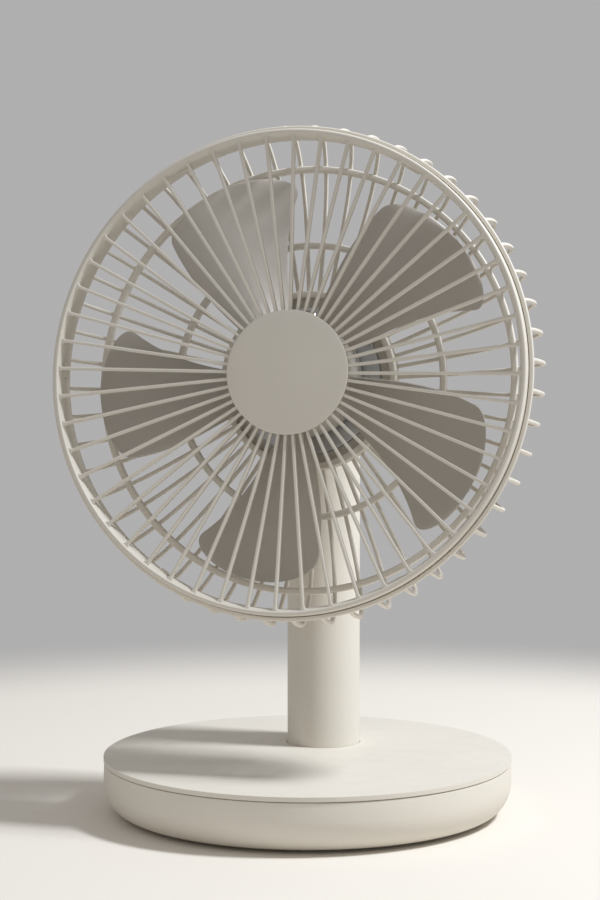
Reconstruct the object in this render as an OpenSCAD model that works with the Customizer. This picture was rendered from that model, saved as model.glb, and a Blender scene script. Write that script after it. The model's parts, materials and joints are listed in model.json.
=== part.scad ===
// Desk fan: a round weighted base, a column and a tilting caged head.
// Z is up, the table is z = 0, the fan blows towards -Y.

/* [Base] */
// Outside radius of the base
base_r = 75; // [70:1:85]
// Height of the base's top face above the table
base_h = 21; // [21:0.5:26]
// Wall thickness of the base mouldings
wall = 2.2; // [1.8:0.1:2.4]
// Radius at which the base's side starts to curl under
foot_r = 67; // [64:0.5:68]

/* [Column] */
// Outside radius of the column
column_r = 13.6; // [13:0.1:14.6]
// How far the column stands behind the middle of the base
column_y = 23.5; // [20:0.5:27]
// Height of the tilt hinge above the table
hinge_z = 155; // [150:1:175]

/* [Head] */
// Upward tilt of the head at rest, in degrees
rest_tilt = 8.5; // [0:0.5:40]
// Distance from the tilt hinge to the front face of the cage
reach = 57; // [57:0.5:60]
// Outside radius of the front grille
front_r = 86.2; // [86:0.1:87]
// Number of bars in the front grille
bars = 52; // [30:2:60]
// Width of one front bar
bar_w = 1.2; // [1:0.1:1.8]
// Depth by which the middle of the front grille is dished
dish = 5; // [3:0.5:5]
// Number of ribs in the rear grille
ribs = 52; // [30:2:60]
// Width of one rear rib
rib_w = 1.4; // [1.2:0.1:1.8]

/* [Impeller] */
// Number of blades
blades = 5; // [3:1:7]
// Tip radius of the blades
blade_r = 75; // [70:0.5:76]
// Thickness of a blade
blade_t = 1.6; // [1.2:0.1:2]
// Outside radius of the impeller's hub
hub_r = 21; // [21:0.1:22]

/* [Hidden] */
$fn = 72;

// Small clearances
gap = 0.1;
slide_gap = 0.3;
running = 0.05;

// Base
foot_lift = 1.2;
floor_top = foot_lift + wall;
side_z = 12.5;
seam_z = base_h - 2;
seam_gap = 0.3;
lip = 1.1;
lid_under = base_h - wall;
post_r = 60;
post_angles = [30, 150, 210, 330];
pad_angles = [60, 120, 240, 300];
pad_ring_r = 54;
pad_r = 6.5;
ballast_z = floor_top + 2;
ballast_t = 4;
ballast_spots = [[-44, 8], [44, 8], [0, -50]];
board_z = 7;
board_t = 1.6;
board_top = board_z + board_t;
board_spots = [[-18, 49], [18, 49], [-18, 61], [18, 61]];

// Rear panel, with the power inlet, the light and the button
panel_y = base_r - 2.6;
panel_t = 1.6;
panel_z = [6.7, 15.3];
panel_w = 33.6;
inlet_x = -11;
inlet_z = board_top + 1.65;
button_x = 11;
button_z = 11;
button_r = 3.2;
light_z = 10.2;

// Column
tube_bore = column_r - 2.2;
flange_z = [lid_under - 2.6, lid_under - 0.1];
clamp_z = [lid_under - 5.1, lid_under - 2.8];
clamp_ring_r = 21;
yoke_z = hinge_z - 22;
yoke_round = column_r - 0.6;
slot_half = 9.2;
slot_z = hinge_z - 12.5;
tongue_half = slot_half - 1;
tongue_r = 10.5;
bolt_r = 2.5;
bolt_tip = 3.6;
bolt_seat = 11.3;
loom_z = 11.6;

// Head: depths are measured backwards from the front face of the cage
ring_depth = 5;
ring_in = front_r - 2.5;
bar_depth = 2.2;
bar_front = 0.6;
bar_inner = 20.5;
cap_r = 22.3;
cap_depth = bar_front + dish - 2;
rear_out = front_r + 1.8;
rear_in = front_r - 1.9;
rear_back = 13;
rib_t = 1.6;
mid_ring_r = 50;
outer_ring_r = 77;
hub_ring_r = 33;
hub_floor = [37, 39.2];
mount_plate = [34, 36.9];
motor_screw_r = 23;
cover_screw_r = 25;
cover_back = reach - 14.6;
wire_v = 11;

// Motor, on the same depths
shaft_r = 1.5;
bearing_r = 4;
bearing_front = [16.4, 20.4];
bearing_rear = [29.5, 33.5];
tube_r = 6;
stator_r = 15.1;
stator_z = [19, 28];
teeth = 9;
magnet_z = [17, 29.5];
cup_r = 18.4;

plastic = [0.80, 0.77, 0.72];
plastic_dark = [0.66, 0.62, 0.57];
steel = [0.70, 0.71, 0.73];

// ---- helpers ----

// A profile of [radius, height] points turned about Z
module turned(points) rotate_extrude() polygon(points);

// A ring between two radii and two heights
module ring(inner, outer, z)
    turned([[inner, z[0]], [outer, z[0]], [outer, z[1]], [inner, z[1]]]);

// A rod between two heights
module rod(r, z) translate([0, 0, z[0]]) cylinder(r = r, h = z[1] - z[0]);

// A block between two corners
module block(low, high) translate(low) cube(high - low);

// Children in the head's frame: x across, z backwards from the cage's front face, -y up
module head()
    translate([0, column_y, hinge_z]) rotate([-rest_tilt, 0, 0])
        translate([0, -reach, 0]) rotate([-90, 0, 0]) children();

// Children repeated on a circle
module around(count, r = 0, start = 0)
    for (i = [0:count - 1]) rotate([0, 0, start + i * 360 / count]) translate([r, 0, 0]) children();

// Children at each of a list of spots
module spots(list) for (p = list) translate([p[0], p[1], 0]) children();

// Children on the base's own pitch circles
module on_base(angles, r) for (a = angles) rotate([0, 0, a]) translate([r, 0, 0]) children();

// A screw that points up, with its head below z
module screw_up(r, head_r, head_t, z, length)
    turned([[0, z - head_t], [head_r * 0.8, z - head_t], [head_r, z - head_t * 0.6], [head_r, z],
        [r, z], [r, z + length - r], [r * 0.3, z + length], [0, z + length]]);

// The same screw, pointing down from z
module screw_down(r, head_r, head_t, z, length)
    translate([0, 0, z]) mirror([0, 0, 1]) screw_up(r, head_r, head_t, 0, length);

// One point of a cubic Bezier curve
function bezier(p, t) =
    pow(1 - t, 3) * p[0] + 3 * pow(1 - t, 2) * t * p[1] + 3 * (1 - t) * t * t * p[2] + t * t * t * p[3];

// The outline of a strip of thickness t that follows a path
function heading(path, i) =
    let(a = path[max(i - 1, 0)], b = path[min(i + 1, len(path) - 1)], d = b - a) d / norm(d);
function strip(path, t) = concat(
    [for (i = [0:len(path) - 1]) let(d = heading(path, i)) path[i] + [d[1], -d[0]] * t / 2],
    [for (i = [len(path) - 1:-1:0]) let(d = heading(path, i)) path[i] - [d[1], -d[0]] * t / 2]);

// ---- base ----

// The bowl's side: a quarter of an ellipse from the foot to the widest line
function bowl_side(r0, r1, z0, z1, steps = 12) =
    [for (i = [0:steps]) let(u = 90 * i / steps) [r0 + (r1 - r0) * sin(u), z0 + (z1 - z0) * (1 - cos(u))]];

module base_bowl() color(plastic) difference() {
    union() {
        difference() {
            turned(concat([[0, foot_lift]], bowl_side(foot_r, base_r, foot_lift, side_z),
                [[base_r - 0.2, seam_z], [0, seam_z]]));
            turned(concat([[0, floor_top]],
                bowl_side(foot_r - wall * 0.6, base_r - wall, floor_top, side_z),
                [[base_r - wall - 0.2, seam_z + 1], [0, seam_z + 1]]));
        }
        on_base(post_angles, post_r) rod(4.6, [floor_top - 0.5, floor_top + 2]);
        spots(ballast_spots) rod(3.6, [floor_top - 0.5, ballast_z]);
        spots(board_spots) rod(2.6, [floor_top - 0.5, board_z]);
    }
    on_base(post_angles, post_r) {
        rod(1.7, [0, 8]);
        rod(3.4, [0, foot_lift + 1.6]);
    }
    on_base(pad_angles, pad_ring_r) rod(pad_r + gap, [0, foot_lift + 0.8]);
    spots(ballast_spots) rod(1.3, [floor_top - 0.8, 8]);
    spots(board_spots) rod(1.15, [floor_top, 9]);
    block([-panel_w / 2 - 0.2, base_r - 8, panel_z[0] - 0.2], [panel_w / 2 + 0.2, base_r + 1, panel_z[1] + 0.2]);
}

function lip_arc(steps = 6) =
    [for (i = [0:steps]) let(u = 90 * i / steps)
        [base_r - lip + lip * cos(u), base_h - lip + lip * sin(u)]];

module base_lid() color(plastic) difference() {
    union() {
        turned(concat([[0, lid_under], [base_r - wall - 2.2, lid_under], [base_r - wall - 2.2, seam_z - 3],
            [base_r - wall - 0.5, seam_z - 3], [base_r - wall - 0.5, seam_z + seam_gap],
            [base_r, seam_z + seam_gap]], lip_arc(), [[0, base_h]]));
        on_base(post_angles, post_r) rod(3.4, [floor_top + 2 + gap, lid_under + 0.5]);
        translate([0, column_y]) around(4, clamp_ring_r, 45) rod(3.2, [clamp_z[1] + gap, lid_under + 0.5]);
    }
    translate([0, column_y, 0]) rod(column_r + gap, [lid_under - 1, base_h + 1]);
    on_base(post_angles, post_r) rod(1.55, [0, lid_under - 3]);
    translate([0, column_y]) around(4, clamp_ring_r, 45) rod(1.55, [0, base_h - 1]);
}

module rubber_feet() color([0.25, 0.25, 0.25]) on_base(pad_angles, pad_ring_r)
    turned([[0, 0], [pad_r - 0.5, 0], [pad_r, 0.5], [pad_r, foot_lift + 0.7], [0, foot_lift + 0.7]]);

module base_screws() color(steel) on_base(post_angles, post_r)
    screw_up(1.5, 3.2, 1.4, foot_lift + 1.6, 11);

module ballast_plate() color([0.35, 0.36, 0.38]) difference() {
    translate([0, 0, ballast_z]) cylinder(r = 55, h = ballast_t);
    block([-60, 42, 0], [60, 60, 20]);
    spots(ballast_spots) rod(1.7, [0, 20]);
}

module ballast_screws() color(steel) spots(ballast_spots)
    screw_down(1.2, 2.6, 1.4, ballast_z + ballast_t, ballast_t + 2.4);

module battery_pack() color([0.30, 0.42, 0.58]) {
    low = [-32, -46, ballast_z + ballast_t + gap];
    high = [32, -4, ballast_z + ballast_t + 6.6];
    difference() {
        block(low, high);
        for (x = [low[0], high[0]], z = [low[2], high[2]]) translate([x, 0, z]) rotate([0, 45, 0])
            cube([1.6, 100, 1.6], center = true);
    }
}

module control_board() color([0.13, 0.36, 0.24]) difference() {
    block([-22, 45, board_z], [22, 65, board_top]);
    spots(board_spots) rod(1.3, [0, 20]);
}

module board_screws() color(steel) spots(board_spots) screw_down(1.05, 2.1, 1.3, board_top, 4.4);

module loom_connector() color([0.9, 0.88, 0.82]) difference() {
    block([-4, 46.2, board_top], [4, 51, board_top + 4.6]);
    translate([0, 45, loom_z]) rotate([-90, 0, 0]) cylinder(r = 1.9, h = 4);
}

// The outline of a flat slot with round ends
function slot_outline(w, h, steps = 10) = concat(
    [for (i = [0:steps]) let(u = 180 * i / steps - 90) [(w - h) / 2 + h / 2 * cos(u), h / 2 * sin(u)]],
    [for (i = [0:steps]) let(u = 180 * i / steps + 90) [-(w - h) / 2 + h / 2 * cos(u), h / 2 * sin(u)]]);

// That slot around the inlet, as a solid along Y
module inlet_slot(w, h, y0, y1) translate([inlet_x, y1, inlet_z]) rotate([90, 0, 0])
    linear_extrude(height = y1 - y0) polygon(slot_outline(w, h));

module usb_socket() color(steel) {
    difference() {
        inlet_slot(8.9, 3.3, 63, panel_y - 0.8);
        inlet_slot(8.3, 2.7, 65, panel_y);
    }
    block([inlet_x - 3.3, 64.5, inlet_z - 0.35], [inlet_x + 3.3, 70.5, inlet_z + 0.35]);
}

module push_switch() color([0.15, 0.15, 0.16]) {
    block([button_x - 3, 62.5, board_top], [button_x + 3, 66.8, board_top + 5]);
    translate([button_x, 66.5, button_z]) rotate([-90, 0, 0]) cylinder(r = 1.5, h = panel_y - 4.1 - 66.5);
}

module status_light() color([0.85, 0.92, 0.95]) {
    translate([0, 64, light_z]) rotate([-90, 0, 0]) cylinder(r = 1, h = panel_y - 64);
    block([-1.4, 61, board_top], [1.4, 65, board_top + 3]);
}

module rear_panel() color(plastic_dark) difference() {
    block([-panel_w / 2, panel_y - panel_t, panel_z[0]], [panel_w / 2, panel_y, panel_z[1]]);
    inlet_slot(9.6, 3.9, panel_y - 3, panel_y + 1);
    translate([0, panel_y - 3, light_z]) rotate([-90, 0, 0]) cylinder(r = 1.1, h = 5);
    translate([button_x, panel_y - 3, button_z]) rotate([-90, 0, 0])
        cylinder(r = button_r + slide_gap, h = 5);
}

module power_button() color(plastic)
    translate([button_x, panel_y, button_z]) rotate([-90, 0, 0])
        turned([[0, -3.2], [button_r + 1, -3.2], [button_r + 1, -2], [button_r, -2], [button_r, 1.1],
            [button_r - 0.4, 1.5], [1.6, 1.5], [0, 1.2]]);

// ---- column ----

module column_tube() color(plastic) translate([0, column_y, 0]) turned([
    [tube_bore, flange_z[0]], [column_r + 3.8, flange_z[0]], [column_r + 3.8, flange_z[1]],
    [column_r, flange_z[1]], [column_r, yoke_z], [tube_bore, yoke_z]]);

module column_clamp() color(steel) translate([0, column_y, 0]) difference() {
    ring(tube_bore, clamp_ring_r + 3.4, clamp_z);
    around(4, clamp_ring_r, 45) rod(1.7, [0, 30]);
}

module column_screws() color(steel) translate([0, column_y, 0]) around(4, clamp_ring_r, 45)
    screw_up(1.5, 2.8, 1.5, clamp_z[0], 6);

module column_loom() color([0.2, 0.2, 0.2]) {
    loom_r = 1.6;
    translate([0, column_y, 0]) rod(loom_r, [loom_z, slot_z]);
    translate([0, column_y, loom_z]) sphere(r = loom_r);
    translate([0, column_y, loom_z]) rotate([-90, 0, 0]) cylinder(r = loom_r, h = 48.5 - column_y);
}

module hinge_yoke() color(plastic) translate([0, column_y, 0]) difference() {
    union() {
        rod(tube_bore - gap, [yoke_z - 16, yoke_z + 0.5]);
        rod(column_r, [yoke_z, slot_z]);
        for (s = [0, 1]) mirror([s, 0, 0]) intersection() {
            rod(column_r, [slot_z - 0.5, hinge_z + 20]);
            block([slot_half, -20, slot_z - 1], [20, 20, hinge_z + 20]);
            union() {
                block([0, -yoke_round, slot_z - 1], [20, yoke_round, hinge_z]);
                translate([0, 0, hinge_z]) rotate([0, 90, 0]) cylinder(r = yoke_round, h = 20);
            }
        }
    }
    rod(2, [yoke_z - 20, slot_z + 1]);
    translate([-30, 0, hinge_z]) rotate([0, 90, 0]) cylinder(r = bolt_r + running, h = 60);
    for (s = [0, 1]) mirror([s, 0, 0]) translate([bolt_seat, 0, hinge_z]) rotate([0, 90, 0])
        cylinder(r = 4.3, h = 10);
}

// Children on the hinge axis, on both sides of the middle, with z outwards
module hinge_sides() translate([0, column_y, hinge_z])
    for (s = [0, 1]) mirror([s, 0, 0]) rotate([0, 90, 0]) children();

module hinge_bolts() color(steel) hinge_sides() difference() {
    turned([[0, bolt_tip], [bolt_r, bolt_tip], [bolt_r, bolt_seat], [4.1, bolt_seat],
        [4.1, bolt_seat + 0.9], [3.7, bolt_seat + 1.3], [0, bolt_seat + 1.3]]);
    translate([0, 0, bolt_seat + 0.5]) cylinder(r = 1.6, h = 2, $fn = 6);
}

module hinge_washers() color([0.2, 0.2, 0.2]) hinge_sides()
    ring(bolt_r + gap, 8, [tongue_half + gap, slot_half - gap]);

module hinge_caps() color(plastic) hinge_sides() rod(4.15, [bolt_seat + 1.4, bolt_seat + 1.8]);

// ---- head: cage ----

module front_bar() {
    slope = dish / (ring_in + 0.8 - bar_inner);
    rotate([90, 0, 0]) linear_extrude(height = bar_w, center = true) polygon([
        [bar_inner, bar_front + dish], [ring_in + 0.8, bar_front],
        [ring_in + 0.8, bar_front + bar_depth], [bar_inner, bar_front + dish + bar_depth]]);
}

module front_grille() color(plastic) head() {
    turned([[front_r, 0.9], [front_r, ring_depth], [ring_in - 0.2, ring_depth], [ring_in, 1.6],
        [ring_in + 0.35, 0.6], [ring_in + 1.1, 0], [front_r - 0.9, 0], [front_r - 0.3, 0.3]]);
    around(bars) front_bar();
    rod(bar_inner + 0.7, [bar_front + dish + 0.25, bar_front + dish + bar_depth - 0.25]);
    for (i = [0:5]) rotate([0, 0, 60 * i - 2]) rotate_extrude(angle = 4)
        polygon([[ring_in - 0.5, ring_depth - 1], [rear_in - gap, ring_depth - 1],
            [rear_in - gap, ring_depth + 3.5], [ring_in - 0.5, ring_depth + 3.5]]);
}

module centre_cap() color(plastic) head() {
    back = cap_depth + 1.75;
    turned([[0, cap_depth], [cap_r - 0.9, cap_depth], [cap_r - 0.3, cap_depth + 0.25],
        [cap_r, cap_depth + 0.8], [cap_r - 0.1, back], [0, back]]);
}

function rib_path() = let(
        a = [[front_r + 1, 5.6], [front_r + 2.3, 8.5], [front_r + 3, 13], [front_r + 3, 17.5]],
        b = [a[3], [front_r + 3, 23], [front_r - 4.5, 28.3], [76, 31.2]],
        c = [b[3], [68, 35.7], [52, 37.9], [hub_ring_r - 1, 37.9]])
    concat([for (i = [0:4]) bezier(a, i / 5)], [for (i = [0:7]) bezier(b, i / 8)],
        [for (i = [0:7]) bezier(c, i / 7)]);

module rear_rib() rotate([90, 0, 0]) linear_extrude(height = rib_w, center = true)
    polygon(strip(rib_path(), rib_t));

module rear_grille() color(plastic) head() difference() {
    union() {
        turned([[front_r + 0.35, ring_depth - 0.8], [rear_out - 0.4, ring_depth - 0.8],
            [rear_out, ring_depth - 0.2], [rear_out, 5.8], [rear_out - 0.6, 8], [rear_out - 1.8, 11],
            [rear_out - 2.5, rear_back - 0.4], [rear_out - 2.9, rear_back], [rear_in + 0.4, rear_back],
            [rear_in, rear_back - 0.4], [rear_in, ring_depth + 0.1], [front_r + 0.35, ring_depth + 0.1]]);
        around(ribs, 0, 180 / ribs) rear_rib();
        ring(outer_ring_r - 1.2, outer_ring_r + 1.2, [28.4, 31]);
        ring(mid_ring_r - 1.2, mid_ring_r + 1.2, [34.4, 37.2]);
        ring(hub_ring_r - 2.5, hub_ring_r, [33, hub_floor[1]]);
        rod(hub_ring_r - 1, hub_floor);
    }
    rod(13, [0, 60]);
    around(3, motor_screw_r, 30) rod(1.45, [0, 60]);
    around(3, cover_screw_r, 90) rod(1.45, [0, 60]);
}

// ---- head: motor and hinge arm ----

module motor_mount() color([0.75, 0.76, 0.78]) head() difference() {
    union() {
        rod(tube_r, [16.2, mount_plate[0] + 0.5]);
        rod(27, mount_plate);
    }
    rod(bearing_r + 0.02, [0, 60]);
    around(3, motor_screw_r, 30) rod(1.6, [0, 60]);
    translate([0, wire_v, 0]) rod(1.6, [0, 60]);
}

// A small ball bearing, closed, with a shallow groove on each face
module bearing(z) color(steel) turned([
    [shaft_r + 0.03, z[0]], [2.2, z[0]], [2.4, z[0] + 0.3], [3.2, z[0] + 0.3], [3.4, z[0]],
    [bearing_r, z[0]], [bearing_r, z[1]], [3.4, z[1]], [3.2, z[1] - 0.3], [2.4, z[1] - 0.3],
    [2.2, z[1]], [shaft_r + 0.03, z[1]]]);

module front_bearing() head() bearing(bearing_front);
module rear_bearing() head() bearing(bearing_rear);

module stator_core() color([0.45, 0.46, 0.50]) head() translate([0, 0, stator_z[0]])
    linear_extrude(height = stator_z[1] - stator_z[0]) difference() {
        circle(r = stator_r);
        circle(r = tube_r + running);
        for (i = [0:teeth - 1]) rotate([0, 0, (i + 0.5) * 360 / teeth]) {
            polygon([[8.8, -0.9], [13.2, -3.2], [13.2, 3.2], [8.8, 0.9]]);
            translate([12, -0.8]) square([6, 1.6]);
        }
    }

module stator_coils() color([0.72, 0.42, 0.20]) head() around(teeth) difference() {
    block([9.1, -2.75, 17.9], [12.6, 2.75, 29.1]);
    block([8, -2.2, 18.9], [14, 2.2, 28.1]);
}

module motor_board() color([0.13, 0.36, 0.24]) head() ring(tube_r + 0.3, 17, [31.1, 32.5]);

module motor_screws() color(steel) head() around(3, motor_screw_r, 30)
    screw_up(1.4, 2.6, 1.4, mount_plate[0], 5);

module motor_cover() color(plastic) head() difference() {
    union() {
        turned([[0, hub_floor[1] + gap], [hub_ring_r - 1.5, hub_floor[1] + gap],
            [hub_ring_r - 1.5, cover_back - 1.6], [hub_ring_r - 2, cover_back - 0.7],
            [hub_ring_r - 3.2, cover_back], [0, cover_back]]);
        block([-tongue_half, -8, cover_back - 1], [tongue_half, 8, reach]);
        translate([-tongue_half, 0, reach]) rotate([0, 90, 0])
            cylinder(r = tongue_r, h = 2 * tongue_half);
    }
    translate([-20, 0, reach]) rotate([0, 90, 0]) cylinder(r = bolt_r + running, h = 40);
    rod(1.7, [30, reach - 5]);
    around(3, cover_screw_r, 90) {
        rod(1.6, [30, 60]);
        rod(2.9, [cover_back - 1.6, 60]);
    }
}

module cover_screws() color(steel) head() around(3, cover_screw_r, 90)
    screw_down(1.4, 2.6, 1.3, cover_back - 1.6, 3.6);

module head_loom() color([0.2, 0.2, 0.2]) head() {
    wire_r = 1.1;
    bend = hub_floor[1] - 1.15;
    translate([0, wire_v, 0]) rod(wire_r, [32.6, bend]);
    translate([0, wire_v, bend]) sphere(r = wire_r, $fn = 32);
    translate([0, 0, bend]) rotate([-90, 0, 0]) cylinder(r = wire_r, h = wire_v);
    translate([0, 0, bend]) sphere(r = wire_r, $fn = 32);
    rod(wire_r, [bend, reach - 6]);
}

// ---- rotor ----

// Half of a blade's angular width, full at mid span and rounded off at the tip
function blade_half(u) = (19 + 2 * u) * (u < 0.84 ? 1 : pow(1 - pow((u - 0.84) / 0.163, 2.4), 0.5));

// Front skin of a blade: u runs from hub to tip, w from -1 to 1 along the chord
function blade_point(u, w, lift) = let(
        r = hub_r - 1.2 + (blade_r - hub_r + 1.2) * u,
        a = w * blade_half(u) + 10 * u * u,
        z = 20.4 + (8.2 - 2.4 * u) * w * blade_half(u) / 20 - 1.8 * (1 - w * w) * (1 - 0.4 * u))
    [r * cos(a), r * sin(a), z + lift];

module blade() {
    nu = 12;
    nw = 8;
    row = nw + 1;
    count = (nu + 1) * row;
    skin = function (lift) [for (i = [0:nu], j = [0:nw]) blade_point(1 - pow(1 - i / nu, 1.5), 2 * j / nw - 1, lift)];
    rim = concat([for (j = [0:nw]) j], [for (i = [1:nu]) i * row + nw],
        [for (j = [nw - 1:-1:0]) nu * row + j], [for (i = [nu - 1:-1:1]) i * row]);
    front = [for (i = [0:nu - 1], j = [0:nw - 1]) let(k = i * row + j)
        each [[k, k + row + 1, k + 1], [k, k + row, k + row + 1]]];
    back = [for (f = front) [f[0] + count, f[2] + count, f[1] + count]];
    edge = [for (i = [0:len(rim) - 1]) let(a = rim[i], b = rim[(i + 1) % len(rim)])
        each [[a, b, b + count], [a, b + count, a + count]]];
    polyhedron(concat(skin(0), skin(blade_t)), concat(front, back, edge), convexity = 4);
}

module impeller() color(plastic_dark) head() {
    turned([[3.4, 10.5], [hub_r - 2.5, 10.5], [hub_r - 0.8, 11.2], [hub_r, 12.6], [hub_r, 31],
        [cup_r + 0.2, 31], [cup_r + 0.2, 12.7], [3.4, 12.7]]);
    around(blades, 0, -50) blade();
}

module rotor_cup() color(steel) head() turned([[shaft_r + 0.02, 11], [3.3, 11], [3.3, 12.8],
    [cup_r, 12.8], [cup_r, 30.6], [cup_r - 0.9, 30.6], [cup_r - 0.9, 14.1], [shaft_r + 0.02, 14.1]]);

module magnet_ring() color([0.22, 0.22, 0.24]) head() ring(stator_r + 0.6, cup_r - 0.95, magnet_z);

module motor_shaft() color(steel) head()
    turned([[0, 10.6], [shaft_r - 0.3, 10.6], [shaft_r, 10.9], [shaft_r, 36.1], [shaft_r - 0.3, 36.4],
        [0, 36.4]]);

module shaft_clip() color(steel) head() ring(shaft_r + 0.02, 3.2, [33.7, 34.3]);

base_bowl();
base_lid();
rubber_feet();
base_screws();
ballast_plate();
ballast_screws();
battery_pack();
control_board();
board_screws();
loom_connector();
usb_socket();
push_switch();
status_light();
rear_panel();
power_button();
column_tube();
column_clamp();
column_screws();
column_loom();
hinge_yoke();
hinge_bolts();
hinge_washers();
hinge_caps();
front_grille();
centre_cap();
rear_grille();
motor_mount();
front_bearing();
rear_bearing();
stator_core();
stator_coils();
motor_board();
motor_screws();
motor_cover();
cover_screws();
head_loom();
impeller();
rotor_cup();
magnet_ring();
motor_shaft();
shaft_clip();
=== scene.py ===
"""Desk fan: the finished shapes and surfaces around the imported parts.

Shapes are drawn in millimetres and placed in metres, in one of these frames:
- STAND, the row's own: z up from the table, the fan blows towards -y
- COLUMN, the same with its z axis up the middle of the column
- HEAD, with x across, y down and z backwards from the front face of the cage
"""

import math

import bmesh
import bpy
from mathutils import Matrix, Vector
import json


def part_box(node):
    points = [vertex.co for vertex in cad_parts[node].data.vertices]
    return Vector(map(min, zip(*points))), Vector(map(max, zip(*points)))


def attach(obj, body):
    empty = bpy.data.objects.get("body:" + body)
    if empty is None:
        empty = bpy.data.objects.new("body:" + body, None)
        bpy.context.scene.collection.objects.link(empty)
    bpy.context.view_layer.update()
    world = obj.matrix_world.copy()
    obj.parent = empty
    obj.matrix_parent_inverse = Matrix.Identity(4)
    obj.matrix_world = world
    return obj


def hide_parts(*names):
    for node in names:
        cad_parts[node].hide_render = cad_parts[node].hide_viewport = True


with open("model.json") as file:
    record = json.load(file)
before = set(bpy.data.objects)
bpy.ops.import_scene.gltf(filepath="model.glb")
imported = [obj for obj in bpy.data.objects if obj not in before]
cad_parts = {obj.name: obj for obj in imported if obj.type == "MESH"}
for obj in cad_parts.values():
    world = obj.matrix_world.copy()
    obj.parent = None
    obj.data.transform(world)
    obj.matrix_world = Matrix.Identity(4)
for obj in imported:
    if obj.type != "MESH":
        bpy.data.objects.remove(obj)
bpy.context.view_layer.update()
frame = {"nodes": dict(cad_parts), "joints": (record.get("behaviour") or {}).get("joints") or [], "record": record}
nodes = frame["nodes"]
joints = {joint["name"]: joint for joint in frame["joints"]}

MM = 0.001
TURN = 2 * math.pi


# ---- frames and measures ----

def span(node, place):
    """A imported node's largest radius about a frame's z axis, and its lowest and highest z."""
    inverse = place.inverted()
    points = [inverse @ vertex.co for vertex in nodes[node].data.vertices]
    heights = [point.z for point in points]
    return max(point.xy.length for point in points), min(heights), max(heights)


hinge = Vector(joints["head_tilt"]["pos_m"])
backwards = -Vector(joints["rotor_spin"]["axis"]).normalized()
downwards = backwards.cross(Vector((1, 0, 0)))
turned_head = Matrix((Vector((1, 0, 0)), downwards, backwards)).transposed().to_4x4()

STAND = Matrix.Scale(MM, 4)
COLUMN = Matrix.Translation((hinge.x, hinge.y, 0)) @ STAND
at_hinge = Matrix.Translation(hinge) @ turned_head @ STAND
reach = -span("front_grille", at_hinge)[1]
HEAD = at_hinge @ Matrix.Translation((0, 0, -reach))


def hinge_side(way):
    """The frame on the tilt hinge whose z axis points out to one side, way being 1 or -1."""
    return Matrix.Translation(hinge) @ Matrix.Rotation(way * TURN / 4, 4, "Y") @ STAND


# ---- ways to make a shape ----

def rounded(corners, closed=True, steps=4):
    """An outline of (across, up, rounding) corners, with an arc in place of each rounded one."""
    points = []
    count = len(corners)
    for i, (x, y, rounding) in enumerate(corners):
        here = Vector((x, y))
        at_end = not closed and i in (0, count - 1)
        if rounding == 0 or at_end:
            points.append(here)
            continue
        before = Vector(corners[i - 1][:2]) - here
        after = Vector(corners[(i + 1) % count][:2]) - here
        half = before.angle(after) / 2
        cut = min(rounding / math.tan(half), 0.48 * before.length, 0.48 * after.length)
        middle = here + (before.normalized() + after.normalized()).normalized() * cut / math.cos(half)
        start = here + before.normalized() * cut - middle
        end = here + after.normalized() * cut - middle
        points.extend(middle + start.slerp(end, step / steps) * start.length for step in range(steps + 1))
    return points


def box_outline(width, height, rounding):
    """A rectangle about the origin with rounded corners."""
    x, y = width / 2, height / 2
    return rounded([(x, y, rounding), (-x, y, rounding), (-x, -y, rounding), (x, -y, rounding)])


def bezier(a, b, c, d, steps):
    """Points along a cubic Bezier curve, without its last one."""
    for step in range(steps):
        t = step / steps
        yield a * (1 - t) ** 3 + b * 3 * t * (1 - t) ** 2 + c * 3 * t * t * (1 - t) + d * t ** 3


def spun(outline, steps=144, closed=True):
    """An outline of (radius, height) points spun round the z axis. An open one ends on the axis."""
    bm = bmesh.new()
    corners = [bm.verts.new((radius, 0, height)) for radius, height in outline]
    pairs = list(zip(corners, corners[1:]))
    if closed:
        pairs.append((corners[-1], corners[0]))
    edges = [bm.edges.new(pair) for pair in pairs]
    bmesh.ops.spin(bm, geom=corners + edges, cent=(0, 0, 0), axis=(0, 0, 1), dvec=(0, 0, 0),
                   angle=TURN, steps=steps, use_merge=True)
    bmesh.ops.remove_doubles(bm, verts=bm.verts, dist=0.001)
    bmesh.ops.recalc_face_normals(bm, faces=bm.faces)
    return bm


def swept(section, stations):
    """A closed section of (across, up) points carried through a list of station matrices."""
    bm = bmesh.new()
    loop = [bm.verts.new(stations[0] @ Vector((x, y, 0))) for x, y in section]
    face = bm.faces.new(loop)
    for before, after in zip(stations, stations[1:]):
        grown = bmesh.ops.extrude_face_region(bm, geom=[face])["geom"]
        face = next(part for part in grown if isinstance(part, bmesh.types.BMFace))
        moved = [part for part in grown if isinstance(part, bmesh.types.BMVert)]
        bmesh.ops.transform(bm, matrix=after @ before.inverted(), verts=moved)
    bmesh.ops.recalc_face_normals(bm, faces=bm.faces)
    return bm


def prism(outline, low, high):
    """An outline of (x, y) points drawn out from one height to another."""
    return swept(outline, [Matrix.Translation((0, 0, low)), Matrix.Translation((0, 0, high))])


def rod(radius, low, high, x=0, y=0, steps=48):
    """A plain cylinder, as a cutter or a boss, standing at (x, y)."""
    bm = bmesh.new()
    bmesh.ops.create_cone(bm, cap_ends=True, segments=steps, radius1=radius, radius2=radius,
                          depth=high - low, matrix=Matrix.Translation((x, y, (low + high) / 2)))
    return bm


def moved(bm, matrix):
    """The same shape, moved."""
    bmesh.ops.transform(bm, matrix=matrix, verts=bm.verts)
    if matrix.determinant() < 0:
        bmesh.ops.reverse_faces(bm, faces=bm.faces)
    return bm


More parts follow.
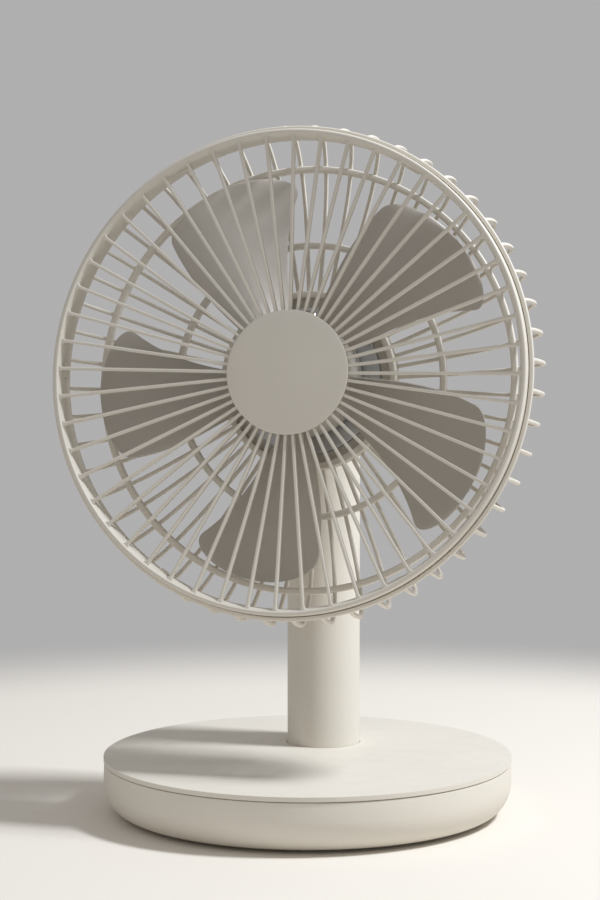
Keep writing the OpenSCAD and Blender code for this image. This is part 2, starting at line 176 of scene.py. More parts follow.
def repeated(bm, count, radius=0, start=0):
    """The shape, put out at a radius and copied evenly round the z axis."""
    moved(bm, Matrix.Rotation(math.radians(start), 4, "Z") @ Matrix.Translation((radius, 0, 0)))
    everything = bm.verts[:] + bm.edges[:] + bm.faces[:]
    bmesh.ops.spin(bm, geom=everything, cent=(0, 0, 0), axis=(0, 0, 1), dvec=(0, 0, 0),
                   angle=TURN * (count - 1) / count, steps=count - 1, use_duplicate=True)
    return bm


def joined(*shapes):
    """Several shapes as one."""
    whole = bmesh.new()
    for shape in shapes:
        mesh = bpy.data.meshes.new("part")
        shape.to_mesh(mesh)
        shape.free()
        whole.from_mesh(mesh)
        bpy.data.meshes.remove(mesh)
    return whole


def loose(bm, name):
    """A shape as an object in the scene."""
    mesh = bpy.data.meshes.new(name)
    bm.to_mesh(mesh)
    bm.free()
    thing = bpy.data.objects.new(name, mesh)
    bpy.context.scene.collection.objects.link(thing)
    return thing


def cut_by(bm, *cutters, how="DIFFERENCE"):
    """The shape with the cutters taken out of it, or joined to them."""
    for cutter in cutters:
        body, tool = loose(bm, "body"), loose(cutter, "tool")
        step = body.modifiers.new("cut", "BOOLEAN")
        step.operation, step.solver, step.object = how, "EXACT", tool
        bpy.context.view_layer.update()
        mesh = bpy.data.meshes.new_from_object(body.evaluated_get(bpy.context.evaluated_depsgraph_get()))
        bm = bmesh.new()
        bm.from_mesh(mesh)
        for used in (body, tool):
            bpy.data.meshes.remove(used.data)
        bpy.data.meshes.remove(mesh)
    return bm


def eased(bm, width, steps=2, sharper_than=40):
    """The shape with its sharp edges rounded."""
    sharp = [edge for edge in bm.edges if edge.calc_face_angle(0) > math.radians(sharper_than)]
    bmesh.ops.bevel(bm, geom=sharp, offset=width, affect="EDGES", segments=steps, profile=0.5,
                    material=-1, clamp_overlap=True)
    return bm


# ---- finishes ----

class Value:
    """A socket in a finish. An operator on it adds the Math node."""

    def __init__(self, finish, socket):
        self.finish = finish
        self.socket = socket

    def __add__(self, other):
        return self.finish.maths("ADD", self, other)

    def __radd__(self, other):
        return self.finish.maths("ADD", other, self)

    def __sub__(self, other):
        return self.finish.maths("SUBTRACT", self, other)

    def __rsub__(self, other):
        return self.finish.maths("SUBTRACT", other, self)

    def __mul__(self, other):
        return self.finish.maths("MULTIPLY", self, other)

    def __rmul__(self, other):
        return self.finish.maths("MULTIPLY", other, self)

    def __truediv__(self, other):
        return self.finish.maths("DIVIDE", self, other)

    def __pow__(self, other):
        return self.finish.maths("POWER", self, other)


class Finish:
    """One finish: its material, and the few calls that its nodes are written with."""

    def __init__(self, name, place=None):
        self.material = bpy.data.materials.new(name)
        self.material.use_nodes = True
        self.tree = self.material.node_tree
        self.tree.nodes.clear()
        self.place = self.node("ShaderNodeTexCoord", output="Object")
        if place is not None:
            self.place = self.node(
                "ShaderNodeMapping", {"vector_type": "TEXTURE"},
                {"Vector": self.place, "Location": place.translation, "Rotation": place.to_euler()})

    def node(self, kind, settings=None, inputs=None, output=0):
        """Any node, from its type, its settings, its sockets' values or links, and the output used."""
        made = self.tree.nodes.new(kind)
        for name, value in (settings or {}).items():
            if name == "stops":
                ramp = made.color_ramp.elements
                while len(ramp) < len(value):
                    ramp.new(1)
                for stop, (position, colour) in zip(ramp, value):
                    stop.position, stop.color = position, (*colour, 1)
            else:
                setattr(made, name, value)
        for name, value in (inputs or {}).items():
            if isinstance(value, Value):
                self.tree.links.new(value.socket, made.inputs[name])
            else:
                made.inputs[name].default_value = value
        return Value(self, made.outputs[output]) if made.outputs else None

    def maths(self, operation, *values):
        return self.node("ShaderNodeMath", {"operation": operation}, dict(enumerate(values)))

    def axes(self):
        """The place's own x, y and z, in metres."""
        return [self.node("ShaderNodeSeparateXYZ", inputs={0: self.place}, output=i) for i in range(3)]

    def radius(self):
        x, y, _ = self.axes()
        return (x * x + y * y) ** 0.5

    def stretched(self, x, y, z):
        """The place, drawn out along the axes that are given less than 1."""
        return self.node("ShaderNodeVectorMath", {"operation": "MULTIPLY"}, {0: self.place, 1: (x, y, z)})

    def noise(self, size, detail=2.0, place=None, distortion=0.0):
        """Cloudy variation from 0 to 1, with features of about that size in millimetres."""
        return self.node("ShaderNodeTexNoise", inputs={
            "Vector": place or self.place, "Scale": 1 / (size * MM), "Detail": detail,
            "Distortion": distortion})

    def cells(self, size, feature="F1", place=None):
        """Distance from the cells' middles, or from their edges, for cells of that size in millimetres."""
        return self.node("ShaderNodeTexVoronoi", {"feature": feature},
                         {"Vector": place or self.place, "Scale": 1 / (size * MM)})

    def stripes(self, along, pitch):
        """Soft stripes from 0 to 1, of that pitch in millimetres."""
        return self.maths("SINE", along * (TURN / (pitch * MM))) * 0.5 + 0.5

    def step(self, value, low, high):
        """0 below low, 1 above high, and smooth between them."""
        return self.node("ShaderNodeMapRange", {"interpolation_type": "SMOOTHSTEP"},
                         {"Value": value, "From Min": low, "From Max": high})

    def mix(self, share, first, second):
        """A colour between two colours."""
        colours = [tone if isinstance(tone, Value) else (*tone, 1) for tone in (first, second)]
        return self.node("ShaderNodeMix", {"data_type": "RGBA", "clamp_factor": True},
                         {0: share, 6: colours[0], 7: colours[1]}, output=2)

    def bumped(self, height, depth, under=None):
        """A normal that rises by depth millimetres where height goes from 0 to 1."""
        inputs = {"Height": height, "Distance": depth * MM, "Strength": 1.0}
        if under is not None:
            inputs["Normal"] = under
        return self.node("ShaderNodeBump", inputs=inputs)

    def edges(self, low=0.52, high=0.6):
        """1 on the shape's outward edges, where hands and cloths rub it."""
        return self.step(self.node("ShaderNodeNewGeometry", output="Pointiness"), low, high)

    def done(self, colour, roughness, normal, **constants):
        inputs = {"Base Color": colour, "Roughness": roughness, "Normal": normal}
        inputs.update({name.replace("_", " ").title(): value for name, value in constants.items()})
        shader = self.node("ShaderNodeBsdfPrincipled", inputs=inputs)
        self.node("ShaderNodeOutputMaterial", inputs={"Surface": shader})
        return self.material


def shade(colour, factor):
    """A colour made darker or lighter."""
    return tuple(part * factor for part in colour)


def moulded(name, colour, roughness, grain=0.35, depth=0.012):
    """Injection-moulded plastic with a fine spark-eroded grain, slightly cloudy, polished where it is rubbed."""
    finish = Finish(name)
    cloud = finish.noise(34, 3)
    speck = finish.noise(1.6, 4)
    fine = finish.noise(grain, 1)
    rub = finish.edges() * finish.step(finish.noise(9, 4), 0.35, 0.7)
    tone = finish.mix(cloud, shade(colour, 0.965), shade(colour, 1.035))
    tone = finish.mix(finish.step(speck, 0.56, 0.8) * 0.3, tone, shade(colour, 0.9))
    tone = finish.mix(rub * 0.35, tone, shade(colour, 1.12))
    rough = roughness + (cloud - 0.5) * 0.1 + (fine - 0.5) * 0.12 - rub * 0.12
    skin = finish.bumped(finish.noise(14, 2), 0.03)
    return finish.done(tone, rough, finish.bumped(fine, depth, skin))


def rubber(name, colour):
    """Soft black rubber with a dusty bloom."""
    finish = Finish(name)
    bloom = finish.step(finish.noise(4, 4), 0.4, 0.75)
    grain = finish.noise(0.3, 2)
    tone = finish.mix(bloom * 0.5, colour, shade(colour, 2.2))
    return finish.done(tone, 0.72 + grain * 0.16, finish.bumped(grain, 0.03))


def sleeve(name, colour, pitch=0.9):
    """A woven sleeve over the wires."""
    finish = Finish(name)
    x, y, z = finish.axes()
    weave = finish.stripes(x + y + z, pitch) * finish.stripes(x + y - z, pitch)
    tone = finish.mix(weave, shade(colour, 0.6), shade(colour, 1.9))
    return finish.done(tone, 0.62 + weave * 0.15, finish.bumped(weave, 0.12))


def plated(name, colour, roughness=0.3):
    """Zinc or nickel plate: a little cloudy, with fine scratches."""
    finish = Finish(name)
    cloud = finish.noise(3, 3)
    scratch = finish.noise(0.25, 2, finish.stretched(1, 0.08, 1))
    tone = finish.mix(cloud, shade(colour, 0.86), shade(colour, 1.08))
    rough = roughness + (cloud - 0.5) * 0.14 + (scratch - 0.5) * 0.16
    return finish.done(tone, rough, finish.bumped(scratch, 0.006), metallic=1.0)


def ground(name, colour, roughness=0.24):
    """Turned and ground steel: rings round the rotor's axis."""
    finish = Finish(name, HEAD)
    rings = finish.stripes(finish.radius() + finish.noise(5, 1) * 0.0002, 0.22)
    cloud = finish.noise(6, 3)
    tone = finish.mix(cloud, shade(colour, 0.84), shade(colour, 1.08))
    rough = roughness + rings * 0.08 + (cloud - 0.5) * 0.12
    return finish.done(tone, rough, finish.bumped(rings, 0.004), metallic=1.0)


def laminated(name, colour):
    """A stack of thin steel sheets along the rotor's axis, with varnish between them."""
    finish = Finish(name, HEAD)
    sheets = finish.step(finish.stripes(finish.axes()[2], 0.5), 0.12, 0.4)
    blotch = finish.noise(2.4, 4)
    tone = finish.mix(sheets, shade(colour, 0.35), shade(colour, 1.05))
    tone = finish.mix(finish.step(blotch, 0.5, 0.75) * 0.5, tone, (0.16, 0.10, 0.07))
    return finish.done(tone, 0.38 + blotch * 0.2, finish.bumped(sheets, 0.05), metallic=0.9)


def cast(name, colour, roughness, metallic, grain=0.8):
    """A cast or sintered surface with its pits."""
    finish = Finish(name)
    pits = finish.step(finish.cells(grain), 0.08, 0.4)
    cloud = finish.noise(12, 4)
    tone = finish.mix(cloud, shade(colour, 0.75), shade(colour, 1.25))
    rough = roughness + (cloud - 0.5) * 0.2
    return finish.done(tone, rough, finish.bumped(pits, 0.04), metallic=metallic)


def windings(name, colour):
    """Coils of enamelled wire, with painted shade in the grooves between turns and a painted highlight on their
    crests.
    """
    finish = Finish(name, HEAD)
    turn_ridges_and_painted_shade = finish.stripes(finish.radius(), 0.55)
    enamel = finish.noise(1.4, 3)
    # Painted shade and painted highlight: the colour runs dark in the grooves between turns and light on their
    # crests.
    tone = finish.mix(turn_ridges_and_painted_shade, shade(colour, 0.35), shade(colour, 1.15))
    tone = finish.mix(finish.step(enamel, 0.55, 0.8) * 0.4, tone, (0.35, 0.12, 0.04))
    return finish.done(tone, 0.26 + enamel * 0.14, finish.bumped(turn_ridges_and_painted_shade, 0.14), metallic=0.85)


def board(name, colour):
    """Solder mask over copper tracks and pads."""
    finish = Finish(name)
    x, y, _ = finish.axes()
    lanes = finish.stripes(x + finish.step(finish.noise(6, 0), 0.48, 0.52) * 0.004, 1.7)
    lanes = finish.step(lanes, 0.72, 0.78) * finish.step(finish.noise(5, 1), 0.4, 0.46)
    pads = 1 - finish.step(finish.cells(3.1), 0.2, 0.24)
    tone = finish.mix(lanes * 0.8, colour, shade(colour, 1.9))
    tone = finish.mix(pads * 0.9, tone, (0.55, 0.53, 0.48))
    return finish.done(tone, 0.3 + finish.noise(4, 2) * 0.12, finish.bumped(lanes + pads, 0.035))


def wrapped(name, colour):
    """A shrink sleeve over cells, with its wrinkles."""
    finish = Finish(name)
    folds = finish.noise(7, 3, finish.stretched(0.35, 1, 1), 0.6)
    tone = finish.mix(folds, shade(colour, 0.8), shade(colour, 1.2))
    return finish.done(tone, 0.28 + folds * 0.14, finish.bumped(folds, 0.25), coat_weight=0.3)


def frosted(name, colour):
    """A frosted light guide."""
    finish = Finish(name)
    haze = finish.noise(0.6, 3)
    tone = finish.mix(haze, shade(colour, 0.9), shade(colour, 1.05))
    return finish.done(tone, 0.3 + haze * 0.2, finish.bumped(haze, 0.01), subsurface_weight=0.2)


CASING = (0.70, 0.655, 0.575)
finishes = {
    "casing": moulded("casing plastic", CASING, 0.56),
    # Painted shade: the blades' colour is the casing's colour darkened to stand for the shade that falls on them
    # inside the cage.
    "blade_plastic": moulded("blade plastic darkened as painted shade", (0.47, 0.435, 0.385), 0.44, grain=0.6, depth=0.006),
    "panel_plastic": moulded("panel plastic", (0.46, 0.43, 0.375), 0.6),
    "black_plastic": moulded("black plastic", (0.035, 0.035, 0.038), 0.5),
    "connector_plastic": moulded("connector nylon", (0.78, 0.74, 0.62), 0.42),
    "light_guide": frosted("light guide", (0.82, 0.88, 0.9)),
    "foot_rubber": rubber("foot rubber", (0.035, 0.034, 0.033)),
    "wire_sleeve": sleeve("wire sleeve", (0.03, 0.03, 0.03)),
    "fastener_steel": plated("plated steel", (0.62, 0.61, 0.59)),
    "bearing_steel": ground("ground steel", (0.66, 0.66, 0.67)),
    "socket_steel": plated("socket plating", (0.7, 0.69, 0.67), 0.22),
    "stator_steel": laminated("stator sheets", (0.42, 0.42, 0.45)),
    "ballast_iron": cast("ballast iron", (0.05, 0.05, 0.055), 0.62, 0.3),
    "magnet_ferrite": cast("magnet ferrite", (0.06, 0.06, 0.065), 0.55, 0.2, grain=0.4),
    "mount_alloy": cast("mount alloy", (0.62, 0.63, 0.65), 0.42, 1.0),
    "coil_copper": windings("coil wire", (0.65, 0.27, 0.1)),
    "circuit_board": board("circuit board", (0.012, 0.1, 0.045)),
    "battery_wrap": wrapped("battery sleeve", (0.05, 0.13, 0.28)),
}


def piece(name, bm, place, body, slot, *replaced, creased=38):
    """A finished piece: its place in its mesh, smooth faces, its body, its finish and what it stands for."""
    bmesh.ops.remove_doubles(bm, verts=bm.verts, dist=0.0005)
    bmesh.ops.recalc_face_normals(bm, faces=bm.faces)
    moved(bm, place)
    thing = loose(bm, name)
    thing.data.shade_smooth()
    thing.data.set_sharp_from_angle(angle=math.radians(creased))
    thing.data.materials.append(finishes[slot])
    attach(thing, body)
    if replaced:
        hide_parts(*replaced)
    return thing


# ---- stand ----

base_r, lid_low, base_top = span("base_lid", STAND)
_, bowl_low, seam = span("base_bowl", STAND)
foot_r = base_r - 8
side_z = 12.5
wall = 2.2
floor_top = bowl_low + wall
lid_under = base_top - wall
POST_R = 60
PAD_R = 54
post_angles = (30, 150, 210, 330)
pad_angles = (60, 120, 240, 300)


def bowl_side(r0, r1, z0, z1, steps=20):
    """A quarter of an ellipse, from the foot to the widest line."""
    for step in range(steps + 1):
        u = step / steps * TURN / 4
        yield r0 + (r1 - r0) * math.sin(u), z0 + (z1 - z0) * (1 - math.cos(u))


def round_base(radius, angles, shape):
    """A shape stood on a pitch circle of the base, at each of some angles."""
    places = [Matrix.Rotation(math.radians(a), 4, "Z") @ Matrix.Translation((radius, 0, 0)) for a in angles]
    return joined(*[moved(shape(), place) for place in places])


def base_bowl():
    outside = [(0, bowl_low), *bowl_side(foot_r, base_r, bowl_low, side_z)]
    rim = rounded([(base_r, side_z, 0), (base_r - 0.2, seam, 0.35), (base_r - wall - 0.2, seam, 0.35),
                   (base_r - wall, side_z, 0)], closed=False)
    inside = [*bowl_side(foot_r - wall * 0.6, base_r - wall, floor_top, side_z)][::-1] + [(0, floor_top)]
    shell = spun(outside + rim[1:] + inside[1:], 192, closed=False)
    low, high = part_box("rear_panel")
    panel = [(corner / MM) for corner in (low, high)]
    window = moved(
        prism(box_outline(panel[1].x - panel[0].x + 0.5, panel[1].z - panel[0].z + 0.5, 0.8), 0, 12),
        Matrix.Translation((0, base_r + 1, (panel[0].z + panel[1].z) / 2)) @ Matrix.Rotation(TURN / 4, 4, "X"))
    holes = round_base(POST_R, post_angles, lambda: rod(3.4, -1, bowl_low + 1.6))
    pads = round_base(PAD_R, pad_angles, lambda: rod(6.6, -1, bowl_low + 0.8))
    return cut_by(shell, window, holes, pads)


def base_lid():
    column_r = span("column_tube", COLUMN)[0]
    hole = 13.7
    outline = rounded([
        (base_r - wall - 2.2, lid_under, 0.4), (base_r - wall - 2.2, lid_low + 0.2, 0.3),
        (base_r - wall - 0.5, lid_low + 0.2, 0.3), (base_r - wall - 0.5, seam + 0.3, 0),
        (base_r, seam + 0.3, 0.15), (base_r, base_top, 1.1)], closed=False, steps=7)
    shell = spun([(0, lid_under), *outline, (0, base_top)], 192, closed=False)
    centre = Matrix.Translation((0, hinge.y / MM, 0))
    return cut_by(shell, moved(spun(rounded([
        (0, lid_under - 1, 0), (hole, lid_under - 1, 0), (hole, base_top - 0.35, 0.3),
        (hole + 0.35, base_top, 0.3), (hole + 0.35, base_top + 1, 0), (0, base_top + 1, 0)],
        closed=False), 96, closed=False), centre))


piece("base-bowl", base_bowl(), STAND, "stand", "casing", "base_bowl")
piece("base-lid", base_lid(), STAND, "stand", "casing", "base_lid")


def foot_pad():
    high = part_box("rubber_feet")[1].z / MM
    return spun(rounded([(0, 0.25, 0), (5.2, 0.25, 0.3), (5.5, 0, 0.2), (6.5, 0, 0.6), (6.5, high, 0.1),
                         (0, high, 0)], closed=False), 64, closed=False)


piece("rubber-pads", round_base(PAD_R, pad_angles, foot_pad), STAND, "stand", "foot_rubber", "rubber_feet")


def column():
    radius, low, high = span("column_tube", COLUMN)
    outer, inner = 13.6, 11.4
    return spun(rounded([
        (inner, low, 0.2), (radius, low, 0.3), (radius, low + 2.5, 0.3), (outer, low + 2.5, 0.3),
        (outer, high, 0.25), (inner, high, 0.2)]), 144)


piece("column", column(), COLUMN, "stand", "casing", "column_tube")


# ---- head: cage ----

front_r, _, clip_back = span("front_grille", HEAD)
rear_r, rear_front, _ = span("rear_grille", HEAD)
BARS = 52
BAR_WIDTH = 1.2
BAR_DEPTH = 2.2
DISH = 5
bar_front = 0.6
ring_in = front_r - 2.5
ring_depth = 5
bar_inner = 20.5


def station(x, z, dx, dz, wide=1.0, deep=1.0):
    """A place on a path in the plane of x and z, for a section that is across y and along the normal."""
    length = math.hypot(dx, dz)
    dx, dz = dx / length, dz / length
    turn = Matrix(((0, -dz, dx), (1, 0, 0), (0, dx, dz))).to_4x4()
    return Matrix.Translation((x, 0, z)) @ turn @ Matrix.Diagonal((wide, deep, 1, 1))


def front_bar():
    """One bar, with a small fillet where it runs into the ring."""
    outer = ring_in + 0.8
    slope = -DISH / (outer - bar_inner)
    section = rounded([(BAR_WIDTH / 2, -BAR_DEPTH / 2, 0.34), (BAR_WIDTH * 0.42, BAR_DEPTH / 2, 0.25),
                       (-BAR_WIDTH * 0.42, BAR_DEPTH / 2, 0.25), (-BAR_WIDTH / 2, -BAR_DEPTH / 2, 0.34)],
                      steps=3)
    stations = []
    for x, wide in ((bar_inner, 1), (40, 1), (60, 1), (ring_in - 1.2, 1), (ring_in - 0.6, 1.08),
                    (ring_in - 0.2, 1.3), (ring_in + 0.1, 1.7), (outer, 2.4)):
        z = bar_front + DISH + BAR_DEPTH / 2 + slope * (x - bar_inner)
        stations.append(station(x, z, 1, slope, wide))
    return swept(section, stations)


def front_grille():
    ring = spun(rounded([(front_r, 0, 0.85), (front_r, ring_depth, 0.2), (ring_in - 0.2, ring_depth, 0.2),
                         (ring_in, 1.7, 0.7), (ring_in + 1.1, 0, 0.35)], steps=6), 256)
    boss_front = bar_front + DISH + 0.25
    boss = spun(rounded([(0, boss_front, 0), (bar_inner + 0.7, boss_front, 0.3),
                         (bar_inner + 0.7, boss_front + BAR_DEPTH - 0.5, 0.3),
                         (0, boss_front + BAR_DEPTH - 0.5, 0)], closed=False), 96, closed=False)
    clip = rounded([(ring_in - 0.5, ring_depth - 1, 0), (rear_r - 3.8, ring_depth - 1, 0),
                    (rear_r - 3.8, clip_back, 0.3), (ring_in - 0.5, clip_back, 0.3)])
    arc = [Matrix.Rotation(math.radians(a), 4, "Z") @ Matrix.Rotation(TURN / 4, 4, "X")
           for a in (-2, -1, 0, 1, 2)]
    return joined(ring, boss, repeated(front_bar(), BARS), repeated(swept(clip, arc), 6))


def centre_cap():
    radius, front, back = span("centre_cap", HEAD)
    dome = [(radius * share, front + 0.75 * share ** 2) for share in (0, 0.15, 0.3, 0.45, 0.6, 0.75, 0.88)]
    rim = rounded([(*dome[-1], 0), (radius, front + 0.8, 0.6), (radius - 0.1, back, 0.2), (0, back, 0)],
                  closed=False, steps=6)
    return spun(dome + rim[1:], 144, closed=False)


piece("front-grille", front_grille(), HEAD, "head", "casing", "front_grille")
piece("centre-cap", centre_cap(), HEAD, "head", "casing", "centre_cap")

RIBS = 52
RIB_WIDTH = 1.4
RIB_DEPTH = 1.6
HUB_RING = 33
HUB_FLOOR = (37, 39.2)


def rib_path():
    """A rib's line: out of the ring, round its shoulder, back, and in to the hub."""
    spots = [Vector(spot) for spot in (
        (front_r + 1, 5.6), (front_r + 2.3, 8.5), (front_r + 3, 13), (front_r + 3, 17.5),
        (front_r + 3, 23), (front_r - 4.5, 28.3), (76, 31.2),
        (68, 35.7), (52, 37.9), (HUB_RING - 1, 37.9))]
    return [*bezier(*spots[0:4], 7), *bezier(*spots[3:7], 14), *bezier(*spots[6:10], 9), spots[9]]


def rear_rib():
    section = box_outline(RIB_WIDTH, RIB_DEPTH, 0.5)
    line = rib_path()
    stations = []
    for i, spot in enumerate(line):
        way = line[min(i + 1, len(line) - 1)] - line[max(i - 1, 0)]
        stations.append(station(spot.x, spot.y, way.x, way.y))
    return swept(section, stations)


def hoop(middle, width, low, high, rounding=0.5, steps=192):
    """A plain ring of the cage."""
    return spun(rounded([(middle + width / 2, low, rounding), (middle + width / 2, high, rounding),
                         (middle - width / 2, high, rounding), (middle - width / 2, low, rounding)]), steps)


def rear_grille():
    rear_in, rear_out = front_r - 1.9, front_r + 1.8
    ring = spun(rounded([
        (front_r + 0.35, ring_depth - 0.8, 0.15), (rear_out, ring_depth - 0.8, 0.5), (rear_out, 5.8, 2),
        (rear_out - 0.6, 8, 3), (rear_out - 1.8, 11, 3), (rear_out - 2.7, 13, 0.4), (rear_in, 13, 0.4),
        (rear_in, ring_depth + 0.1, 0.15), (front_r + 0.35, ring_depth + 0.1, 0)], steps=5), 256)
    hub = hoop(HUB_RING - 1.25, 2.5, 33, HUB_FLOOR[1])
    floor = spun(rounded([(13, HUB_FLOOR[0], 0.3), (HUB_RING - 1, HUB_FLOOR[0], 0),
                          (HUB_RING - 1, HUB_FLOOR[1], 0), (13, HUB_FLOOR[1], 0.3)]), 96)
    for radius, start in ((23, 30), (25, 90)):
        floor = cut_by(floor, repeated(rod(1.45, 30, 45, steps=24), 3, radius, start))
    hoops = [hoop(77, 2.4, 28.4, 31), hoop(50, 2.4, 34.4, 37.2)]
    return joined(ring, hub, floor, *hoops, repeated(rear_rib(), RIBS, start=180 / RIBS))


piece("rear-grille", rear_grille(), HEAD, "head", "casing", "rear_grille")


# ---- head: impeller ----

BLADES = 5
BLADE_R = 75
BLADE_THICK = 1.6
hub_r = 21


def blade_point(u, w):
    """A point of a blade's front skin: u from hub to tip, w from -1 to 1 across it."""
    fading = 1 if u < 0.84 else math.sqrt(max(0, 1 - ((u - 0.84) / 0.163) ** 2.4))
    half = (19 + 2 * u) * fading
    radius = hub_r - 1.2 + (BLADE_R - hub_r + 1.2) * u
    angle = math.radians(w * half + 10 * u * u)
    depth = 20.4 + (8.2 - 2.4 * u) * w * half / 20 - 1.8 * (1 - w * w) * (1 - 0.4 * u)
    return radius * math.cos(angle), radius * math.sin(angle), depth


def blade():
    bm = bmesh.new()
    bmesh.ops.create_grid(bm, x_segments=44, y_segments=28, size=1)
    for vertex in bm.verts:
        across = (vertex.co.x + 1) / 2
        vertex.co = blade_point(1 - (1 - across) ** 1.6, vertex.co.y)
    bmesh.ops.recalc_face_normals(bm, faces=bm.faces)
    if sum(face.normal.z for face in bm.faces) > 0:
        bmesh.ops.reverse_faces(bm, faces=bm.faces)
    bmesh.ops.solidify(bm, geom=bm.faces[:], thickness=BLADE_THICK)
    return eased(bm, 0.5, 3, 55)


def impeller():
    _, front, back = span("impeller", HEAD)
    hub = spun(rounded([
        (3.4, front, 0.3), (hub_r - 1.6, front, 0.8), (hub_r, front + 2.1, 1.6), (hub_r, back, 0.4),
        (hub_r - 2.4, back, 0.4), (hub_r - 2.4, front + 2.2, 0.5), (3.4, front + 2.2, 0.2)], steps=5), 120)
    return joined(hub, repeated(blade(), BLADES, start=-50))


piece("blades-and-hub", impeller(), HEAD, "rotor", "blade_plastic", "impeller")


# ---- head: cover and tilt hinge ----

def along_x(outline, low, high):
    """An outline of (y, z) points drawn out along x."""
    return moved(prism(outline, low, high), Matrix(((0, 0, 1, 0), (1, 0, 0, 0), (0, 1, 0, 0), (0, 0, 0, 1))))


def arc(middle, radius, start, end, steps=32):
    """Points round an arc in degrees, as corners with no rounding."""
    for step in range(steps + 1):
        a = math.radians(start + (end - start) * step / steps)
        yield middle[0] + radius * math.cos(a), middle[1] + radius * math.sin(a)


def motor_cover():
    """The shallow cup over the motor's back, and the tongue that the hinge holds."""
    low, high = HUB_FLOOR[1] + 0.3, reach - 14.6
    cup = spun(rounded([(0, low, 0), (HUB_RING - 1.5, low, 0.2), (HUB_RING - 1.5, high, 2.4),
                        (0, high, 0)], closed=False, steps=6), 144, closed=False)
    lean = math.degrees(math.acos(8 / 10.5))
    outline = [(-8, high - 1), (8, high - 1), *arc((0, reach), 10.5, -lean, 180 + lean)]
    tongue = eased(along_x(outline, -8.2, 8.2), 0.7, 3)
    bore = along_x(list(arc((0, reach), 2.6, 0, 345, 23)), -20, 20)
    recesses = repeated(rod(2.9, high - 1.6, 60), 3, 25, 90)
    return cut_by(cut_by(cup, tongue, how="UNION"), bore, recesses, rod(1.7, 30, reach - 5))


def hinge_yoke():
    """The plug in the column's top, with a cheek on either side of the tongue."""
    up = hinge.z / MM
    foot, slot = up - 22, up - 12.5
    profile = [(-13, slot - 0.5), (13, slot - 0.5), *arc((0, up), 13, 0, 180)]
    cheeks = cut_by(rod(13.6, slot - 0.5, up + 14, steps=144), along_x(profile, -20, 20), how="INTERSECT")
    gap = along_x([(-20, slot), (20, slot), (20, up + 20), (-20, up + 20)], -9.2, 9.2)
    bore = along_x(list(arc((0, up), 2.6, 0, 345, 23)), -20, 20)
    whole = cut_by(rod(13.6, foot + 0.1, slot, steps=144), cut_by(cheeks, gap), how="UNION")
    whole = cut_by(eased(whole, 0.45, 3), bore)
    for way in (-1, 1):
        seat = along_x(list(arc((0, up), 4.3, 0, 352.5, 47)), way * 11.3, way * 15)
        bmesh.ops.recalc_face_normals(seat, faces=seat.faces)
        whole = cut_by(whole, seat)
    return whole


piece("motor-cover", motor_cover(), HEAD, "head", "casing", "motor_cover")
piece("hinge-yoke", hinge_yoke(), COLUMN, "stand", "casing", "hinge_yoke")


# ---- back panel ----

def rear_panel():
    low, high = [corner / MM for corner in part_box("rear_panel")]
    middle = (low + high) / 2
    inlet, light, button = [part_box(node) for node in ("usb_socket", "status_light", "power_button")]
    plate = eased(prism(box_outline(high.x - low.x, high.z - low.z, 0.8), 0, high.y - low.y), 0.25)
    inlet_middle = (inlet[0] + inlet[1]) / 2 / MM - middle
    button_middle = (button[0] + button[1]) / 2 / MM - middle
    mouth = moved(prism(box_outline(9.6, 3.9, 1.9), -1, 3),
                  Matrix.Translation((inlet_middle.x, inlet_middle.z, 0)))
    hole = rod(3.5, -1, 3, button_middle.x, button_middle.z, 64)
    light_hole = rod(1.1, -1, 3, 0, 10.2 - middle.z, 32)
    panel = cut_by(plate, mouth, hole, light_hole)
    return moved(panel, Matrix.Translation((0, high.y, middle.z)) @ Matrix.Rotation(TURN / 4, 4, "X"))


def power_button():
    low, high = [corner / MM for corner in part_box("power_button")]
    r = 3.2
    cap = spun(rounded([
        (0, -3.2, 0), (r + 1, -3.2, 0.1), (r + 1, -2, 0.1), (r, -2, 0), (r, 1.5, 0.4), (1.9, 1.42, 0.5),
        (0, 1.2, 0)], closed=False), 72, closed=False)
    place = Matrix.Translation(((low.x + high.x) / 2, high.y - 1.5, (low.z + high.z) / 2))
    return moved(cap, place @ Matrix.Rotation(-TURN / 4, 4, "X"))


piece("rear-panel", rear_panel(), STAND, "stand", "panel_plastic", "rear_panel")
piece("power-button", power_button(), STAND, "button", "casing", "power_button")


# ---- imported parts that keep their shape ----

KEPT = {
    "base_screws": 0.2, "ballast_plate": 0.4, "ballast_screws": 0.15, "battery_pack": 0.8,
    "control_board": 0.1, "board_screws": 0.12, "loom_connector": 0.15, "usb_socket": 0.08,
    "push_switch": 0.12, "status_light": 0.1, "column_clamp": 0.25, "column_screws": 0.12,
    "column_loom": 0.2, "hinge_bolts": 0.15, "hinge_washers": 0.15, "hinge_caps": 0.12,
    "motor_mount": 0.3, "front_bearing": 0.12, "rear_bearing": 0.12, "stator_core": 0.12,
    "stator_coils": 0.5, "motor_board": 0.1, "motor_screws": 0.12, "cover_screws": 0.15,
    "head_loom": 0.15, "rotor_cup": 0.25, "magnet_ring": 0.2, "motor_shaft": 0.15, "shaft_clip": 0.08,
}


def kept_shape(part, width):
    """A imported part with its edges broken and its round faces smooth."""
    part.data.shade_smooth()
    weld = part.modifiers.new("weld", "WELD")
    weld.merge_threshold = 0.004 * MM
    bevel = part.modifiers.new("edges", "BEVEL")
    bevel.width, bevel.segments, bevel.limit_method = width * MM, 2, "ANGLE"
    bevel.angle_limit = math.radians(35)
    part.modifiers.new("shading", "WEIGHTED_NORMAL")


for row in frame["record"]["subparts"]:
    kept = nodes[row["node"]]
    kept.data.materials.clear()
    kept.data.materials.append(finishes[row["material_slot"]])
    if row["node"] in KEPT:
        kept_shape(kept, KEPT[row["node"]])


# ---- floor, light and camera ----

WALL = (0.435, 0.43, 0.43)


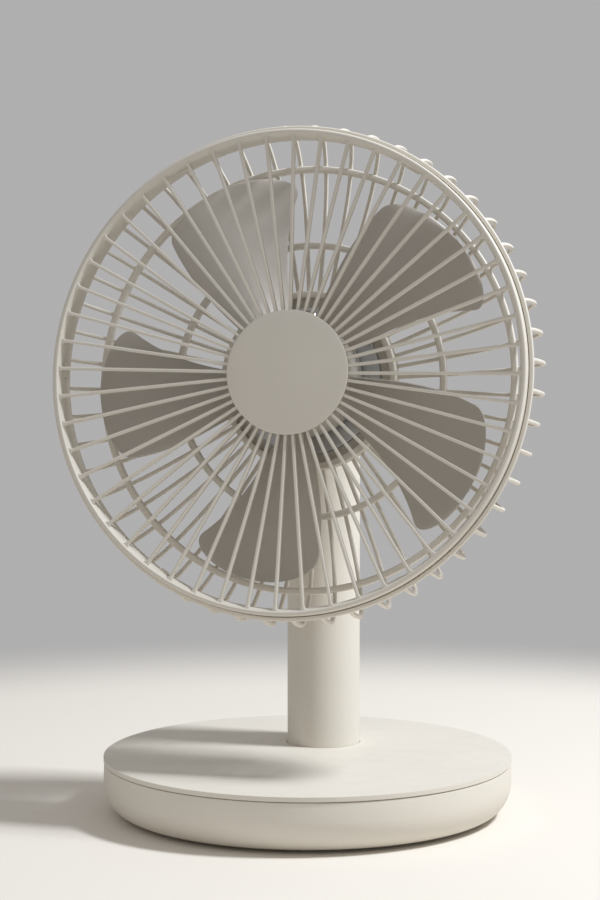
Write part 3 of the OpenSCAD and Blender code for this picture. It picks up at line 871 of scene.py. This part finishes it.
def floor_finish():
    """Pale near the fan, and the backdrop's own grey farther away."""
    finish = Finish("floor")
    cloud = finish.noise(240, 3)
    grain = finish.noise(0.9, 3)
    tone = finish.mix(cloud, (0.79, 0.74, 0.665), (0.81, 0.76, 0.685))
    near = finish.node("ShaderNodeBsdfPrincipled", inputs={
        "Base Color": tone, "Roughness": 0.62 + grain * 0.1, "Normal": finish.bumped(grain, 0.01),
        "Specular IOR Level": 0.25})
    far = finish.node("ShaderNodeEmission", inputs={"Color": (*WALL, 1), "Strength": 1.0})
    share = finish.step(finish.radius(), 0.25, 0.42)
    mixed = finish.node("ShaderNodeMixShader", inputs={0: share, 1: near, 2: far})
    finish.node("ShaderNodeOutputMaterial", inputs={"Surface": mixed})
    return finish.material


def floor():
    bm = bmesh.new()
    bmesh.ops.create_circle(bm, cap_ends=True, segments=96, radius=12)
    sheet = loose(bm, "floor")
    sheet.data.materials.append(floor_finish())


def backdrop():
    """The plain grey all round, which also fills the shadows."""
    world = bpy.data.worlds.new("studio")
    world.use_nodes = True
    sky = world.node_tree.nodes["Background"]
    sky.inputs["Color"].default_value = (*WALL, 1)
    sky.inputs["Strength"].default_value = 1.0
    bpy.context.scene.world = world


def lamp(name, direction, distance, size, power, colour):
    """A square lamp that faces the middle of the fan."""
    target = Vector((0, 0, 0.12))
    data = bpy.data.lights.new(name, "AREA")
    data.shape, data.size, data.energy, data.color = "SQUARE", size, power, colour
    thing = bpy.data.objects.new(name, data)
    thing.location = target + direction.normalized() * distance
    thing.rotation_euler = direction.to_track_quat("Z", "Y").to_euler()
    bpy.context.scene.collection.objects.link(thing)


def towards(azimuth, height):
    """A direction from its angle round from +x and its angle above the table."""
    azimuth, height = math.radians(azimuth), math.radians(height)
    return Vector((math.cos(azimuth) * math.cos(height), math.sin(azimuth) * math.cos(height),
                   math.sin(height)))


def camera():
    turn, dip = math.radians(15.178), math.radians(4.254)
    distance, aside, height = 0.8679, -0.002756, 0.13306
    right = Vector((math.cos(turn), math.sin(turn), 0))
    ahead = Vector((-math.sin(turn) * math.cos(dip), math.cos(turn) * math.cos(dip), -math.sin(dip)))
    data = bpy.data.cameras.new("camera")
    data.lens, data.sensor_width = 95, 36
    thing = bpy.data.objects.new("camera", data)
    thing.location = Vector((0, 0, height)) + right * aside - ahead * distance
    thing.rotation_euler = ahead.to_track_quat("-Z", "Y").to_euler()
    bpy.context.scene.collection.objects.link(thing)
    bpy.context.scene.camera = thing


floor()
backdrop()
lamp("key", towards(5, 52), 1.15, 0.18, 15.5, (0.88, 0.93, 1.0))
camera()
bpy.context.scene.view_settings.view_transform = "Standard"
